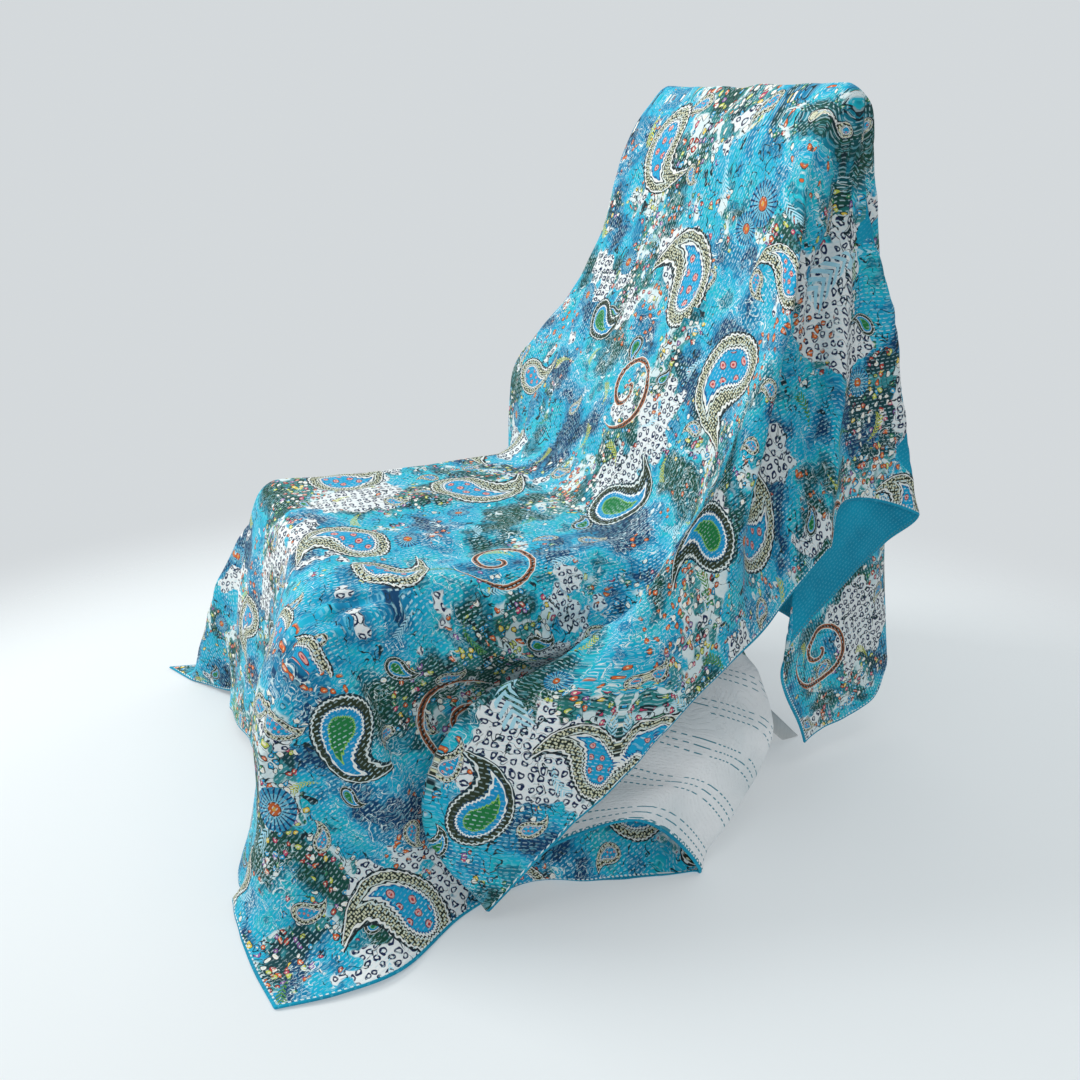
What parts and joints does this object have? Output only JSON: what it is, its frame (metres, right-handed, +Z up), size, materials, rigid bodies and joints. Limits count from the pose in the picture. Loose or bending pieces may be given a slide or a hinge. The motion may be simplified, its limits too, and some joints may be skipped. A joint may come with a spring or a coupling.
{
  "type": "kantha quilt draped over a chair",
  "caption": "Large printed cotton quilt with rows of running stitch, draped over a plain high-backed chair so that it falls to the floor in folds.",
  "frame": {"origin": "on the floor, under the middle of the whole model's footprint", "axes": "+Z up; the chair faces -Y; +X is the side where the quilt falls in its largest folds"},
  "size_m": [0.9902, 1.1979, 1.106],
  "materials": {
    "printed_cotton": "matt printed cotton with rows of pale running stitch; turquoise and white backing",
    "painted_wood": "satin paint"
  },
  "bodies": {
    "root": {"quilt": "printed_cotton", "chair_seat": "painted_wood", "chair_back": "painted_wood", "chair_front_leg_far": "painted_wood", "chair_front_leg_near": "painted_wood", "chair_back_leg_far": "painted_wood", "chair_back_leg_near": "painted_wood", "chair_rail_far": "painted_wood", "chair_rail_near": "painted_wood"}
  },
  "joints": []
}
